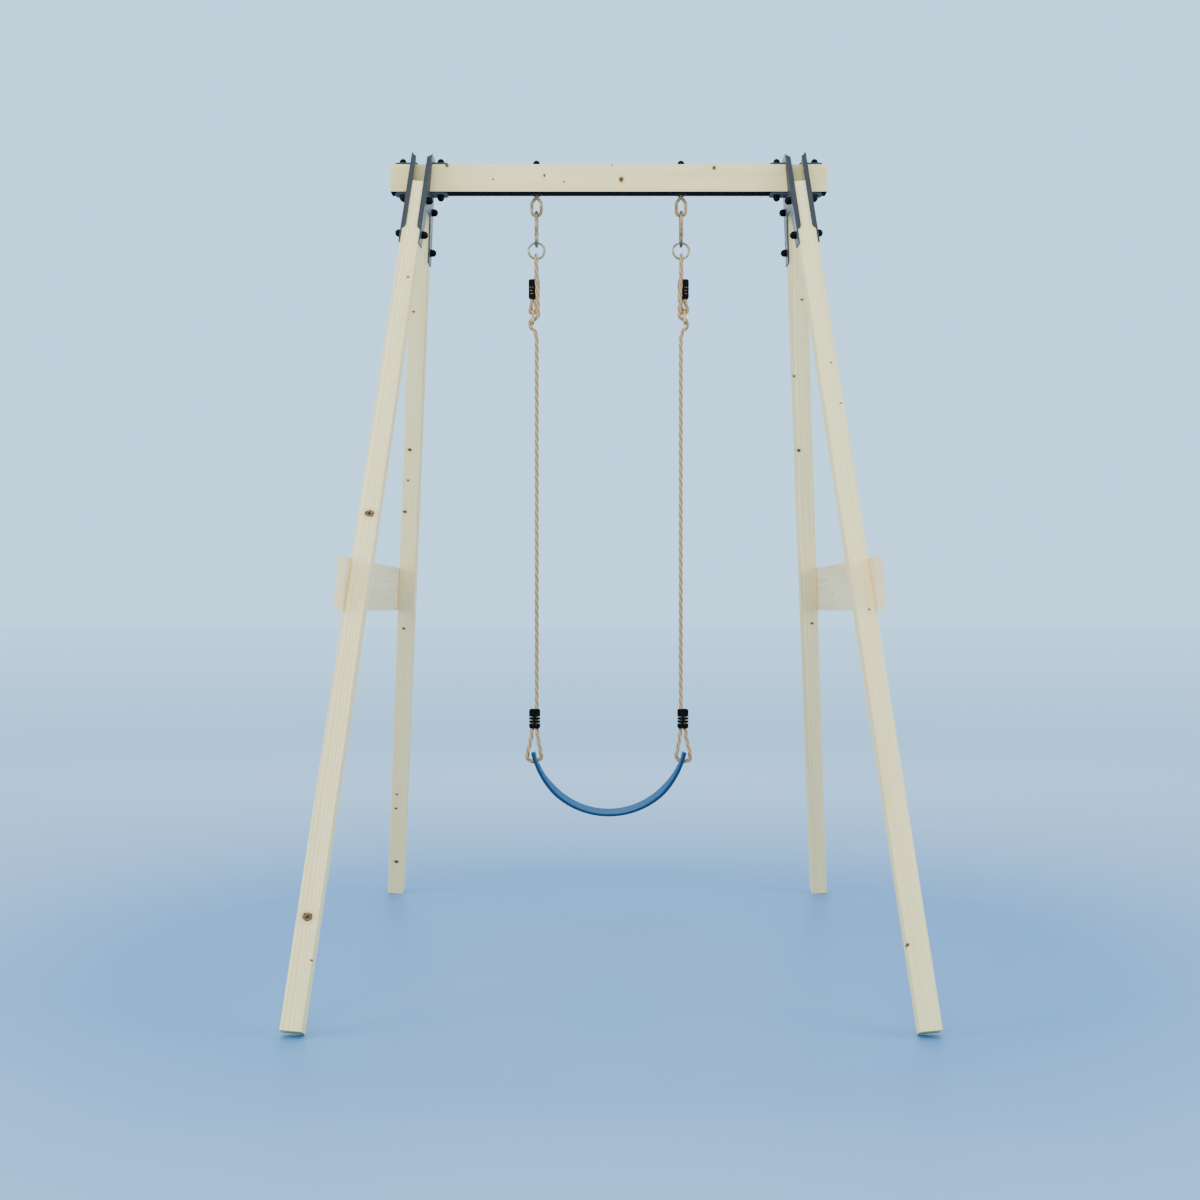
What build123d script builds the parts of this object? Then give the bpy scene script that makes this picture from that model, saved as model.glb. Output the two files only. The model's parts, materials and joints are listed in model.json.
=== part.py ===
from build123d import *
import math
import os
from collections import namedtuple

# A single swing that hangs from a free-standing timber frame.
# Millimetres. X runs along the beam, -Y is the front and +Z is up.
# The origin is on the floor, below the middle of the beam.

# ---- timber ----
BEAM_LENGTH = 1390
BEAM_DEPTH = 58
BEAM_HEIGHT = 88
BEAM_TOP = 2508
LEG_SIZE = 58
LEG_SPREAD = 22.1  # degrees between a leg and the middle line of its pair
LEG_TOP_RISE = 9  # leg tops above the beam's underside
EASED_EDGE = 3
GABLE_SETBACK = 93  # from the beam's end to the middle of a leg pair, at the beam's underside
GABLE_LEAN = 5.0  # degrees that a leg pair leans out at the foot
BOARD_LENGTH = 1310
BOARD_HEIGHT = 150
BOARD_THICKNESS = 24
BOARD_CENTRE_Z = 1160
TIMBER_GAP = 2.0  # between the leg tops and the beam's faces

# ---- steel brackets ----
PLATE = 3.5
FIT_GAP = 0.3  # between pieces that are bolted together
BRACKET_RISE = 32  # above the beam's top
BRACKET_DROP = 194  # below the beam's underside
ARM_MARGIN = 6  # plate inside the leg's inner edge
NOTCH_DROP = 60
LIP_WIDTH = 15.5
LIP_DROP = 147
CLIPPED_CORNER = 8
TAB_WIDTH = 50
TAB_THICKNESS = 6
TAB_REACH = 23  # from a beam bolt to the tab's end
OUTER_BEAM_BOLT = 56  # from the middle of the leg pair towards the beam's end
INNER_BEAM_BOLT = 65  # from the middle of the leg pair towards the swing
UPPER_LEG_BOLT_DROP = 38
LOWER_LEG_BOLT_DROP = 158

# ---- fasteners ----
Fastener = namedtuple("Fastener", "shank hex_width head nut tail cap cap_length")
M10 = Fastener(10, 16, 6.4, 8.4, 3, 24, 19)
M8 = Fastener(8, 13, 5.3, 6.8, 2, 22, 18)
M10_LOW = Fastener(10, 16, 6.4, 6.0, 3, 22, 19)
HOLE_GAP = 0.25
THREAD_GAP = 0.1
CAP_GAP = 0.3
SCREW_SHANK = 7
SCREW_LENGTH = 70
SCREW_HEAD = 14
SCREW_HEAD_HEIGHT = 4.5
SCREW_SPACING = 80

# ---- hooks, snap hooks and rings ----
LINK_GAP = 0.3  # between links that hang in each other
SWING_HALF_WIDTH = 231
EYE_WIRE = 10.5
EYE_HALF_WIDTH = 15
EYE_SHOULDER = 22  # radius of the bend between a straight flank and an upright side
EYE_APEX_DROP = 10  # below the beam's underside
EYE_SHOULDER_DROP = 36
EYE_BAR_DROP = 70
WASHER_DIAMETER = 40
WASHER_THICKNESS = 4
SNAP_WIRE = 11
SNAP_LENGTH = 107.25
SNAP_HALF_WIDTH = 23.5
GATE_PIN = 3
GATE_TONGUE = 3.4
GATE_SLOT_GAP = 0.3
GATE_LENGTH = 46
GATE_END_GAP = 0.6
RING_WIRE = 7.4
RING_RADIUS = 25.5

# ---- rope and what grips it ----
ROPE = 12
CLAMP_WIDTH = 35
CLAMP_DEPTH = 20
CLAMP_HEIGHT = 63
CLAMP_BORE_SPACING = 13
CLAMP_CAP_HEIGHT = 24
CLAMP_FOOT_HEIGHT = 15.5
CLAMP_BLIND = 6  # material above the outer bore
CLAMP_FIN = 6.5
CLAMP_NOTCH = 15
CLAMP_ROUNDING = 7
UPPER_CLAMP = (-239.0, 9.9, 2116.5)
LOWER_CLAMP = (-237.0, 0.0, 741.5)
ADJUSTER = (-242.3, 5.0)
ADJUSTER_BARS = (2006.0, 2029.0, 2050.0)
ADJUSTER_WIRE = 7
ADJUSTER_OPENING = 24
ADJUSTER_CORNER = 8

# The left rope's corners, from its end in the upper clamp to its end in the lower one:
# round the buckle's top bar, over the ring, through the buckle and down through the seat.
ROPE_ROUTE = [
    (-245.5, 9.9, 2141.0),
    (-245.5, 9.9, 2071.0),
    (-253.9, 9.9, 2046.5),
    (-243.8, 9.9, 2038.3),
    (-232.5, 9.9, 2043.8),
    (-232.5, 9.9, 2223.1),
    (-232.5, -9.9, 2223.1),
    (-225.0, -6.5, 2022.0),
    (-252.1, 4.0, 2015.8),
    (-252.1, 3.0, 1994.0),
    (-237.0, 1.0, 1984.0),
    (-230.5, 0.0, 1962.0),
    (-230.5, 0.0, 698.0),
    (-219.5, 0.0, 612.1),
    (-245.0, 0.0, 603.2),
    (-257.5, 0.0, 616.0),
    (-243.5, 0.0, 695.0),
    (-243.5, 0.0, 765.0),
]
CLAMPED_CORNERS = {12: 190.0, 16: 180.0}  # largest bend radii just below the lower clamp
BEND_SHARE = 0.45

# ---- belt seat ----
SEAT_RADIUS = 248
SEAT_CENTRE_Z = 689
SEAT_TIP_ANGLE = 77.0
SEAT_WIDTH = 140
SEAT_TIP_WIDTH = 50
SEAT_FULL_WIDTH_X = 165
SEAT_MIDDLE_THICKNESS = 8
SEAT_TIP_THICKNESS = 12
SEAT_HOLE_Z = 607
SEAT_CORNER = 14
EYELET_BORE = 17
EYELET_WALL = 1.5
EYELET_FLANGE = 30
EYELET_FLANGE_THICKNESS = 1.5
EYELET_RECESS = 0.8

# ---- worked out from the values above ----
BEAM_BOTTOM = BEAM_TOP - BEAM_HEIGHT
GABLE_X = BEAM_LENGTH / 2 - GABLE_SETBACK
OUTER_BEAM_BOLT_X = GABLE_X + OUTER_BEAM_BOLT
INNER_BEAM_BOLT_X = GABLE_X - INNER_BEAM_BOLT
SPREAD = math.radians(LEG_SPREAD)
LEAN = math.radians(GABLE_LEAN)
# A gable frame has its own axes: X out of the leg pair, Y as the swing, Z up along the legs' plane.
GABLE = Location((GABLE_X, 0, BEAM_BOTTOM), (0, -GABLE_LEAN, 0))
LEG_TOP_Y = BEAM_DEPTH / 2 + TIMBER_GAP + LEG_SIZE / 2 * math.cos(SPREAD)
LEG_TOP_V = LEG_TOP_RISE / math.cos(LEAN)
LEG_HALF_SPAN = LEG_SIZE / 2 / math.cos(SPREAD)
PLATE_IN = LEG_SIZE / 2 + FIT_GAP
PLATE_OUT = PLATE_IN + PLATE
EYE_BAR_Z = BEAM_BOTTOM - EYE_BAR_DROP
SNAP_TOP_Z = EYE_BAR_Z + EYE_WIRE / 2 + LINK_GAP + SNAP_WIRE / 2
SNAP_BOTTOM_Z = SNAP_TOP_Z - SNAP_LENGTH
GATE_PIVOT_Z = SNAP_BOTTOM_Z + SNAP_HALF_WIDTH + 10
RING_TOP_Z = SNAP_BOTTOM_Z + SNAP_WIRE / 2 + LINK_GAP + RING_WIRE / 2
RING_CENTRE_Z = RING_TOP_Z - RING_RADIUS


def leg_y(v):
    """Distance of a leg's axis from the pair's middle, at height v in the gable frame."""
    return LEG_TOP_Y + (LEG_TOP_V - v) * math.tan(SPREAD)


def mirrored(shape):
    """The same shape on the other side of the swing."""
    return mirror(shape, about=Plane.YZ)


def gable_pair(shape):
    """A shape drawn in the gable frame, placed at the right and the left end."""
    right = GABLE * shape
    return {"right": right, "left": mirrored(right)}


def rod(start, end, diameter):
    """A round rod between two points."""
    direction = Vector(*end) - Vector(*start)
    section = Plane(origin=start, z_dir=direction) * Circle(diameter / 2)
    return extrude(section, direction.length)


# ---- timber ----
def beam():
    timber = Pos(0, 0, BEAM_TOP - BEAM_HEIGHT / 2) * Box(BEAM_LENGTH, BEAM_DEPTH, BEAM_HEIGHT)
    timber = fillet(timber.edges().filter_by(Axis.X), EASED_EDGE)
    for x, fastener in beam_holes():
        hole = Cylinder(fastener.shank / 2 + HOLE_GAP, BEAM_HEIGHT + 2)
        timber -= Pos(x, 0, BEAM_TOP - BEAM_HEIGHT / 2) * hole
    return timber


def beam_holes():
    """Where the vertical fasteners pass the beam, and their kinds."""
    places = [(OUTER_BEAM_BOLT_X, M8), (INNER_BEAM_BOLT_X, M8), (SWING_HALF_WIDTH, M10_LOW)]
    return places + [(-x, fastener) for x, fastener in places]


def leg_drop():
    """Depth of a square-cut foot's lowest corner below the foot's centre."""
    across = math.sin(SPREAD) * math.cos(LEAN)
    out = math.sin(LEAN)
    return (LEG_SIZE / 2 - EASED_EDGE) * (across + out) + EASED_EDGE * math.hypot(across, out)


def rear_leg():
    """The rear leg, in the gable frame; its lowest corner is on the floor."""
    top_z = BEAM_BOTTOM + LEG_TOP_V * math.cos(LEAN)
    length = (top_z - leg_drop()) / (math.cos(SPREAD) * math.cos(LEAN))
    down = (0, math.sin(SPREAD), -math.cos(SPREAD))
    section = Plane(origin=(0, LEG_TOP_Y, LEG_TOP_V), x_dir=(1, 0, 0), z_dir=down)
    timber = extrude(section * Rectangle(LEG_SIZE, LEG_SIZE), length)
    timber = fillet(timber.edges().filter_by(Axis((0, 0, 0), down)), EASED_EDGE)
    for drop in (UPPER_LEG_BOLT_DROP, LOWER_LEG_BOLT_DROP):
        timber -= leg_bolt_place(drop) * Cylinder(M10.shank / 2 + HOLE_GAP, 4 * LEG_SIZE)
    for place in screw_places():
        pilot = Cylinder(SCREW_SHANK / 2 + THREAD_GAP, 2 * (SCREW_LENGTH + 1))
        timber -= place * pilot
    return timber


def leg_bolt_place(drop):
    """A leg bolt's place in the gable frame, with its Z axis out of the outer plate."""
    v = -drop / math.cos(LEAN)
    return Plane(origin=(PLATE_OUT, leg_y(v), v), z_dir=(1, 0, 0)).location


def board_v():
    """Height of the brace boards' middle in the gable frame."""
    return (BOARD_CENTRE_Z - BEAM_BOTTOM) / math.cos(LEAN)


def screw_places():
    """Two screws through the board into the rear leg, with their Z axes outwards."""
    places = []
    for offset in (-SCREW_SPACING / 2, SCREW_SPACING / 2):
        v = board_v() + offset
        origin = (LEG_SIZE / 2 + BOARD_THICKNESS, leg_y(v), v)
        places.append(Plane(origin=origin, z_dir=(1, 0, 0)).location)
    return places


def brace_board():
    """The board across the outer side of a leg pair, in the gable frame."""
    board = Box(BOARD_THICKNESS, BOARD_LENGTH, BOARD_HEIGHT)
    board = fillet(board.edges().filter_by(Axis.Y), EASED_EDGE / 2)
    board = Pos((LEG_SIZE + BOARD_THICKNESS) / 2, 0, board_v()) * board
    for place in screw_places():
        hole = place * Cylinder(SCREW_SHANK / 2 + HOLE_GAP, 2 * BOARD_THICKNESS + 1)
        board -= hole
        board -= mirror(hole, about=Plane.XZ)
    return board


def brace_screw():
    """A pan-headed timber screw with its head above z = 0."""
    head = Pos(0, 0, SCREW_HEAD_HEIGHT / 2) * Cylinder(SCREW_HEAD / 2, SCREW_HEAD_HEIGHT)
    head = fillet(head.edges().sort_by(Axis.Z)[-1], SCREW_HEAD_HEIGHT / 2)
    recess = Pos(0, 0, SCREW_HEAD_HEIGHT) * Box(6, 1.5, 3) + Pos(0, 0, SCREW_HEAD_HEIGHT) * Box(1.5, 6, 3)
    shank = Pos(0, 0, (8 - SCREW_LENGTH) / 2) * Cylinder(SCREW_SHANK / 2, SCREW_LENGTH - 8)
    tip = Pos(0, 0, 4 - SCREW_LENGTH) * Cone(0.5, SCREW_SHANK / 2, 8)
    return head - recess + shank + tip


# ---- brackets ----
def bracket_outline():
    """An A shape with a flat top: wide enough to wrap the legs' outer faces."""
    top = (BEAM_HEIGHT + BRACKET_RISE) / math.cos(LEAN)
    bottom = -BRACKET_DROP / math.cos(LEAN)
    notch = -NOTCH_DROP / math.cos(LEAN)
    wrap = LEG_HALF_SPAN + (FIT_GAP + PLATE) / math.cos(SPREAD)
    inner = LEG_HALF_SPAN + ARM_MARGIN
    side = [
        (leg_y(notch) - inner, notch),
        (leg_y(bottom) - inner, bottom),
        (leg_y(bottom) + wrap, bottom),
        (leg_y(top) + wrap, top),
    ]
    outline = make_face(Polyline(*side, *[(-y, v) for y, v in reversed(side)], close=True))
    return chamfer(outline.vertices().group_by(Axis.Y)[-1], CLIPPED_CORNER)


def rear_lip():
    """The strip bent over the rear leg's outer face, drawn flat and then thickened."""
    foot_y = leg_y(0) + LEG_HALF_SPAN
    face = Plane(
        origin=(PLATE_OUT, foot_y, 0),
        x_dir=(-1, 0, 0),
        z_dir=(0, math.cos(SPREAD), math.sin(SPREAD)),
    )
    up_leg = math.cos(LEAN) * math.cos(SPREAD)
    low = -LIP_DROP / up_leg
    high = (BEAM_HEIGHT + BRACKET_RISE - CLIPPED_CORNER) / up_leg
    edge = Polyline(
        (LIP_WIDTH, low + LIP_WIDTH),
        (LIP_WIDTH, high - CLIPPED_CORNER),
        (PLATE, high),
        (0, high),
        (0, low),
    )
    corner = CenterArc((0, low + LIP_WIDTH), LIP_WIDTH, -90, 90)
    strip = face.offset(FIT_GAP) * make_face([edge, corner])
    return extrude(strip, PLATE)


def bracket_plate():
    """One plate with its two lips, in the gable frame, before the tabs are added."""
    plate = extrude(Plane.YZ.offset(PLATE_IN) * bracket_outline(), PLATE)
    lip = rear_lip()
    plate = plate + lip + mirror(lip, about=Plane.XZ)
    for drop in (UPPER_LEG_BOLT_DROP, LOWER_LEG_BOLT_DROP):
        hole = leg_bolt_place(drop) * Cylinder(M10.shank / 2 + HOLE_GAP, 8 * PLATE)
        plate = plate - hole - mirror(hole, about=Plane.XZ)
    return plate


def tab(root_x, bolt_x, z):
    """A flat ear on the beam's top or underside, from the plate to past its bolt."""
    end_x = bolt_x + math.copysign(TAB_REACH, bolt_x - root_x)
    length = abs(end_x - root_x)
    ear = Pos((root_x + end_x) / 2, 0, z) * Box(length, TAB_WIDTH, TAB_THICKNESS)
    corners = ear.edges().filter_by(Axis.Z).group_by(Axis.X)
    far = corners[-1] if end_x > root_x else corners[0]
    ear = chamfer(far, CLIPPED_CORNER)
    return ear - Pos(bolt_x, 0, z) * Cylinder(M8.shank / 2 + HOLE_GAP, 2 * TAB_THICKNESS)


def bracket(side, bolt_x):
    """A whole bracket at the right end; side is 1 for the outer plate and -1 for the inner one."""
    plate = bracket_plate()
    if side < 0:
        plate = mirror(plate, about=Plane.YZ)
    plate = GABLE * plate
    window = Box(4 * LEG_SIZE, BEAM_DEPTH + 2 * FIT_GAP, BEAM_HEIGHT + 2 * FIT_GAP)
    plate -= Pos(GABLE_X, 0, BEAM_TOP - BEAM_HEIGHT / 2) * window
    middle = PLATE_IN + PLATE / 2
    tab_middle = FIT_GAP + TAB_THICKNESS / 2
    for z in (BEAM_TOP + tab_middle, BEAM_BOTTOM - tab_middle):
        height = z - BEAM_BOTTOM
        root_x = GABLE_X - height * math.tan(LEAN) + side * middle / math.cos(LEAN)
        plate += tab(root_x, bolt_x, z)
    return plate


# ---- fasteners ----
def hexagon(width, height):
    """A hexagonal prism from z = 0 up, with its width across the flats."""
    return extrude(RegularPolygon(width / 2, 6, major_radius=False), height)


def bolt(fastener, grip):
    """A hexagon bolt with its head above z = 0 and its tail past the nut."""
    length = grip + fastener.nut + fastener.tail
    return hexagon(fastener.hex_width, fastener.head) + Pos(0, 0, -length / 2) * Cylinder(
        fastener.shank / 2, length
    )


def nut(fastener):
    """A hexagon nut from z = 0 up."""
    bore = Cylinder(fastener.shank / 2 + THREAD_GAP, 4 * fastener.nut)
    return hexagon(fastener.hex_width, fastener.nut) - bore


def dome_cap(fastener, hex_height, tail):
    """A snap-on dome over a bolt head or a nut, standing on z = 0."""
    radius = fastener.cap / 2
    wall_top = fastener.cap_length - radius
    side = Polyline((0, fastener.cap_length), (0, 0), (radius, 0), (radius, wall_top))
    dome = CenterArc((0, wall_top), radius, 0, 90)
    cap = revolve(Plane.XZ * make_face([side, dome]), Axis.Z)
    pocket = fastener.hex_width / math.sqrt(3) + CAP_GAP
    depth = hex_height + CAP_GAP
    cap -= Pos(0, 0, depth / 2) * Cylinder(pocket, depth)
    if tail:
        depth = hex_height + tail + CAP_GAP
        cap -= Pos(0, 0, depth / 2) * Cylinder(fastener.shank / 2 + CAP_GAP, depth)
    return cap


def through_bolt(place, fastener, grip):
    """A bolt, its nut and its two caps, at a place whose Z axis points out of the head side."""
    nut_side = place * Pos(0, 0, -grip) * Rot(180, 0, 0)
    return {
        "bolts": [place * bolt(fastener, grip)],
        "bolt_nuts": [nut_side * nut(fastener)],
        "bolt_caps": [
            place * dome_cap(fastener, fastener.head, 0),
            nut_side * dome_cap(fastener, fastener.nut, fastener.tail),
        ],
    }


def leg_fasteners():
    """Eight bolts through the outer plate, the leg and the inner plate."""
    groups = {"leg_bolts": [], "leg_bolt_nuts": [], "leg_bolt_caps": []}
    for drop in (UPPER_LEG_BOLT_DROP, LOWER_LEG_BOLT_DROP):
        pieces = through_bolt(leg_bolt_place(drop), M10, 2 * PLATE_OUT)
        for kind, shapes in pieces.items():
            for shape in shapes:
                rear = GABLE * shape
                front = mirror(rear, about=Plane.XZ)
                groups["leg_" + kind] += [rear, front, mirrored(rear), mirrored(front)]
    return groups


def beam_fasteners():
    """Four bolts through the tabs and the beam."""
    groups = {"beam_bolts": [], "beam_bolt_nuts": [], "beam_bolt_caps": []}
    grip = BEAM_HEIGHT + 2 * (FIT_GAP + TAB_THICKNESS)
    for x in (OUTER_BEAM_BOLT_X, INNER_BEAM_BOLT_X):
        place = Location((x, 0, BEAM_TOP + FIT_GAP + TAB_THICKNESS))
        for kind, shapes in through_bolt(place, M8, grip).items():
            for shape in shapes:
                groups["beam_" + kind] += [shape, mirrored(shape)]
    return groups


def brace_screws():
    """Eight screws that hold the boards to the legs."""
    screws = []
    for place in screw_places():
        rear = GABLE * place * brace_screw()
        front = mirror(rear, about=Plane.XZ)
        screws += [rear, front, mirrored(rear), mirrored(front)]
    return screws


# ---- hooks, snap hooks and rings, at the right-hand side ----
def hook():
    """An eye like a pointed arch on a threaded shank that passes the beam."""
    apex_z = BEAM_BOTTOM - EYE_APEX_DROP
    shoulder = (EYE_HALF_WIDTH - EYE_SHOULDER, BEAM_BOTTOM - EYE_SHOULDER_DROP)
    bow_z = EYE_BAR_Z + EYE_HALF_WIDTH
    reach = math.hypot(shoulder[0], apex_z - shoulder[1])
    turn = math.degrees(math.atan2(apex_z - shoulder[1], -shoulder[0]) - math.acos(EYE_SHOULDER / reach))
    bend = CenterArc(shoulder, EYE_SHOULDER, turn, -turn)
    flank = Line((0, apex_z), bend @ 0)
    side = Line(bend @ 1, (EYE_HALF_WIDTH, bow_z))
    bow = CenterArc((0, bow_z), EYE_HALF_WIDTH, 0, -90)
    path = Plane.XZ * Wire([piece.edge() for piece in (flank, bend, side, bow)])
    section = Plane(origin=path @ 0, z_dir=path % 0) * Circle(EYE_WIRE / 2)
    half = sweep(section, path)
    tail_z = BEAM_TOP + M10_LOW.nut + M10_LOW.tail
    shank = rod((0, 0, apex_z - EYE_WIRE / 2), (0, 0, tail_z), M10_LOW.shank)
    return Pos(SWING_HALF_WIDTH, 0, 0) * (half + mirrored(half) + shank)


def hook_washer():
    """The round base plate between the eye and the beam."""
    disc = Cylinder(WASHER_DIAMETER / 2, WASHER_THICKNESS)
    disc = chamfer(disc.edges().sort_by(Axis.Z)[0], WASHER_THICKNESS / 4)
    disc -= Cylinder(M10_LOW.shank / 2 + HOLE_GAP, 2 * WASHER_THICKNESS)
    return Pos(SWING_HALF_WIDTH, 0, BEAM_BOTTOM - WASHER_THICKNESS / 2) * disc


def snap_hook():
    """A long oval of wire with an opening on its front side, closed by the gate."""
    half = SNAP_HALF_WIDTH
    upper = SNAP_TOP_Z - half
    lower = SNAP_BOTTOM_Z + half
    nose_z = GATE_PIVOT_Z + GATE_LENGTH + GATE_END_GAP
    tongue_z = GATE_PIVOT_Z - SNAP_WIRE / 2 - GATE_END_GAP
    spine = [
        Line((-half, nose_z), (-half, upper)),
        CenterArc((0, upper), half, 180, -180),
        Line((half, upper), (half, lower)),
        CenterArc((0, lower), half, 0, -180),
        Line((-half, lower), (-half, tongue_z)),
    ]
    path = Plane.YZ * Wire([piece.edge() for piece in spine])
    section = Plane(origin=path @ 0, z_dir=path % 0) * Circle(SNAP_WIRE / 2)
    body = sweep(section, path)
    tongue = Pos(0, -half, GATE_PIVOT_Z) * Rot(0, 90, 0) * Cylinder(SNAP_WIRE / 2 - 0.5, GATE_TONGUE)
    neck_height = GATE_PIVOT_Z - tongue_z + 1
    neck = Box(GATE_TONGUE, SNAP_WIRE - 1, neck_height)
    body += tongue + Pos(0, -half, GATE_PIVOT_Z - neck_height / 2) * neck
    body -= Pos(0, -half, GATE_PIVOT_Z) * Rot(0, 90, 0) * Cylinder(GATE_PIN / 2 + HOLE_GAP, SNAP_WIRE)
    return Pos(SWING_HALF_WIDTH, 0, 0) * body


def gate():
    """The sprung gate: a rod with a fork at the pivot."""
    half = SNAP_HALF_WIDTH
    low = GATE_PIVOT_Z
    bar = rod((0, -half, low), (0, -half, low + GATE_LENGTH), SNAP_WIRE)
    heel = Pos(0, -half, low) * Rot(0, 90, 0) * Cylinder(SNAP_WIRE / 2, SNAP_WIRE)
    slot = Box(GATE_TONGUE + 2 * GATE_SLOT_GAP, 2 * SNAP_WIRE, 2 * SNAP_WIRE)
    body = bar + heel - Pos(0, -half, low) * slot
    body -= Pos(0, -half, low) * Rot(0, 90, 0) * Cylinder(GATE_PIN / 2 + THREAD_GAP, 2 * SNAP_WIRE)
    return Pos(SWING_HALF_WIDTH, 0, 0) * body


def gate_pin():
    """The pin that the gate turns on."""
    pin = Rot(0, 90, 0) * Cylinder(GATE_PIN / 2, SNAP_WIRE)
    return Pos(SWING_HALF_WIDTH, -SNAP_HALF_WIDTH, GATE_PIVOT_Z) * pin


def ring():
    """The round link that the rope passes over."""
    return Pos(SWING_HALF_WIDTH, 0, RING_CENTRE_Z) * Rot(90, 0, 0) * Torus(RING_RADIUS, RING_WIRE / 2)


# ---- rope and what grips it, at the left-hand side ----
def bend_radii(points):
    """Each corner's bend radius, from its shorter run and its turn."""
    radii = []
    for index in range(1, len(points) - 1):
        before = Vector(*points[index]) - Vector(*points[index - 1])
        after = Vector(*points[index + 1]) - Vector(*points[index])
        shorter = min(before.length, after.length)
        turn = math.radians(before.get_angle(after))
        largest = BEND_SHARE * shorter / math.tan(turn / 2)
        radii.append(min(largest, CLAMPED_CORNERS.get(index, largest)))
    return radii


def rope():
    radii = bend_radii(ROPE_ROUTE)
    path = FilletPolyline(*ROPE_ROUTE, radius=radii)
    tube = sweep(Plane(origin=path @ 0, z_dir=path % 0) * Circle(ROPE / 2), path)
    expected = math.pi * (ROPE / 2) ** 2 * path.length
    print("rope bend radii:", [round(radius, 1) for radius in radii])
    print(f"rope length {path.length:.0f}, volume {tube.volume:.0f}, section x length {expected:.0f}")
    return tube


def rope_clamp(centre):
    """A moulded block with two bores, ribbed at its sides; the outer bore is blind."""
    x, y, z = centre
    block = Box(CLAMP_WIDTH, CLAMP_DEPTH, CLAMP_HEIGHT)
    block = fillet(block.edges().filter_by(Axis.Y), CLAMP_ROUNDING)
    notch_zone = CLAMP_HEIGHT - CLAMP_CAP_HEIGHT - CLAMP_FOOT_HEIGHT
    pitch = (notch_zone + CLAMP_FIN) / 3
    for step in range(3):
        height = pitch - CLAMP_FIN
        level = CLAMP_HEIGHT / 2 - CLAMP_CAP_HEIGHT - height / 2 - step * pitch
        for side in (-1, 1):
            notch = Box(2 * CLAMP_NOTCH, CLAMP_DEPTH + 2, height)
            block -= Pos(side * CLAMP_WIDTH / 2, 0, level) * notch
    bore = Cylinder(ROPE / 2 + FIT_GAP, CLAMP_HEIGHT + 2)
    block -= Pos(CLAMP_BORE_SPACING / 2, 0, 0) * bore
    block -= Pos(-CLAMP_BORE_SPACING / 2, 0, -CLAMP_BLIND) * Cylinder(ROPE / 2 + FIT_GAP, CLAMP_HEIGHT)
    return Pos(x, y, z) * block


def adjuster():
    """A figure-of-eight wire buckle; the rope's eye is on the top bar."""
    low, middle, high = ADJUSTER_BARS
    x, y = ADJUSTER
    side_y = y + (ADJUSTER_OPENING + ADJUSTER_WIRE) / 2
    corners = [(x, y, high), (x, side_y, high), (x, side_y, low), (x, y, low)]
    path = FilletPolyline(*corners, radius=ADJUSTER_CORNER)
    half = sweep(Plane(origin=path @ 0, z_dir=path % 0) * Circle(ADJUSTER_WIRE / 2), path)
    bar = rod((x, y, middle), (x, side_y, middle), ADJUSTER_WIRE)
    half += bar
    return half + mirror(half, about=Plane.XZ.offset(-y))


# ---- belt seat ----
def arc_point(radius, angle):
    """A point of the seat's arc in the X-Z plane, the angle counted from the lowest point."""
    turn = math.radians(angle)
    return (radius * math.sin(turn), SEAT_CENTRE_Z - radius * math.cos(turn))


def seat_hole():
    """The rope hole's place at the left tip, with its Z axis outwards."""
    angle = math.acos((SEAT_CENTRE_Z - SEAT_HOLE_Z) / SEAT_RADIUS)
    out = (-math.sin(angle), 0, -math.cos(angle))
    return Plane(origin=(-SEAT_RADIUS * math.sin(angle), 0, SEAT_HOLE_Z), z_dir=out).location


def seat_belt():
    """A flat belt that hangs as an arc, thicker and narrower at its two tips."""
    tip = SEAT_TIP_ANGLE
    under = SEAT_RADIUS + SEAT_TIP_THICKNESS / 2
    over = SEAT_RADIUS - SEAT_TIP_THICKNESS / 2
    low = SEAT_CENTRE_Z - SEAT_RADIUS
    bottom = ThreePointArc(
        arc_point(under, -tip), (0, low - SEAT_MIDDLE_THICKNESS / 2), arc_point(under, tip)
    )
    top = ThreePointArc(
        arc_point(over, tip), (0, low + SEAT_MIDDLE_THICKNESS / 2), arc_point(over, -tip)
    )
    ends = [Line(bottom @ 1, top @ 0), Line(top @ 1, bottom @ 0)]
    profile = Plane.XZ * make_face([bottom, ends[0], top, ends[1]])
    belt = extrude(profile, SEAT_WIDTH / 2, both=True)
    far = under + 10
    quarter = [(far, SEAT_TIP_WIDTH / 2), (SEAT_FULL_WIDTH_X, SEAT_WIDTH / 2)]
    upper = quarter + [(-x, y) for x, y in reversed(quarter)]
    plan = make_face(Polyline(*upper, *[(x, -y) for x, y in reversed(upper)], close=True))
    belt &= extrude(plan, SEAT_CENTRE_Z)
    corners = belt.edges().filter_by(lambda edge: edge.length < 2 * SEAT_TIP_THICKNESS)
    belt = fillet(corners.group_by(Axis.Z)[-1], SEAT_CORNER)
    return belt - seat_hole_cut() - mirrored(seat_hole_cut())


def seat_hole_cut():
    """The rope hole at the left tip, with a flat recess for each eyelet flange."""
    cut = Cylinder(EYELET_BORE / 2 + EYELET_WALL + HOLE_GAP, 4 * SEAT_TIP_THICKNESS)
    for side in (-1, 1):
        depth = SEAT_TIP_THICKNESS
        recess = Cylinder(EYELET_FLANGE / 2 + HOLE_GAP, depth)
        cut += Pos(0, 0, side * (eyelet_seat() + depth / 2)) * recess
    return seat_hole() * cut


def eyelet_seat():
    """Half the belt's thickness between the two recesses."""
    return SEAT_TIP_THICKNESS / 2 - EYELET_RECESS


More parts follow.
